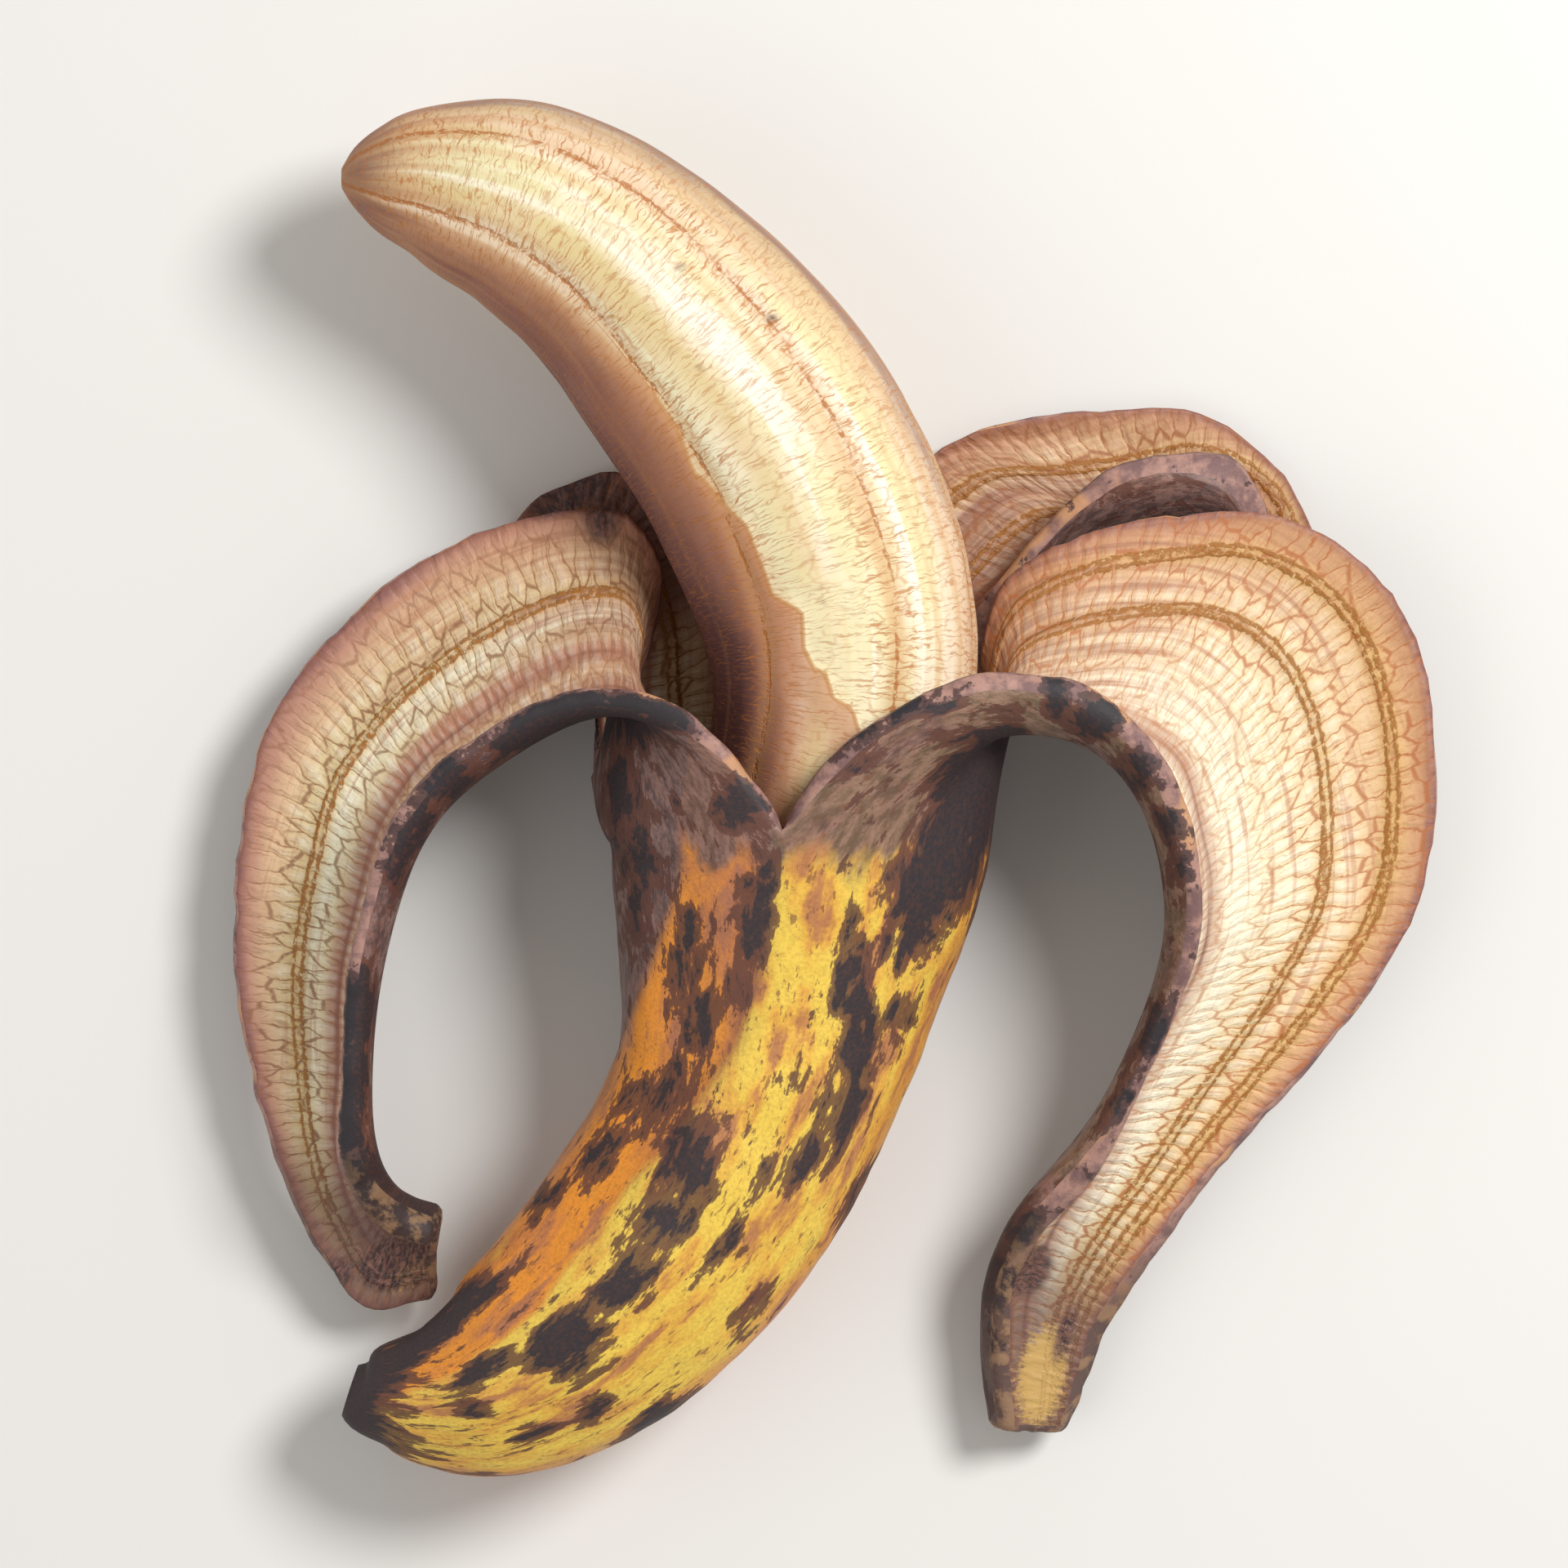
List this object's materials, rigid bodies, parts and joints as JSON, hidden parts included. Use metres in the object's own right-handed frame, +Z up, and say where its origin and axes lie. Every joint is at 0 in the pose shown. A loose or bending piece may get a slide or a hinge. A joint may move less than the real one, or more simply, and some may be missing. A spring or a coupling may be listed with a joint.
{
  "type": "peeled banana",
  "caption": "Overripe banana, half peeled: curved pulp standing out of a spotted cup of peel with its torn strips folded back, the split stem still on their tips",
  "frame": {"origin": "middle of the underside of the whole object", "axes": "+X towards the wide front strip, +Y towards the end where the pulp stands out, +Z up from the table"},
  "size_m": [0.141, 0.1602, 0.0402],
  "materials": {
    "banana_skin": "dull ripe peel, yellow to orange-brown with dark blotches, cream and fibrous inside",
    "banana_flesh": "soft matt cream pulp, slightly moist"
  },
  "bodies": {
    "root": {"peel": "banana_skin", "flesh": "banana_flesh"}
  },
  "joints": []
}
